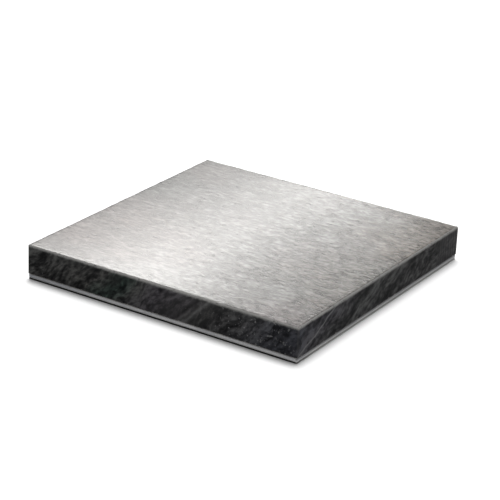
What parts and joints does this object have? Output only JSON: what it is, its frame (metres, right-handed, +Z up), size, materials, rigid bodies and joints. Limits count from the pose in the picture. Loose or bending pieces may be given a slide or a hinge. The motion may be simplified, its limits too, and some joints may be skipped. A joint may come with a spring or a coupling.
{
  "type": "granite slab",
  "caption": "Square granite slab with a brushed working face, dark sides and eased edges, on a bonded foam and rubber pad, for tooling and stamping leather.",
  "frame": {"origin": "centre of the rubber sheet's underside, on the bench", "axes": "+Z up, out of the working face; X along the grinding lines of the working face; Y across them"},
  "size_m": [0.3048, 0.3048, 0.0356],
  "materials": {
    "granite": "satin",
    "foam": "matte",
    "rubber": "matte",
    "adhesive_film": "satin"
  },
  "bodies": {
    "root": {"stone_block": "granite", "upper_adhesive_film": "adhesive_film", "foam_pad": "foam", "lower_adhesive_film": "adhesive_film", "rubber_sheet": "rubber"}
  },
  "joints": []
}
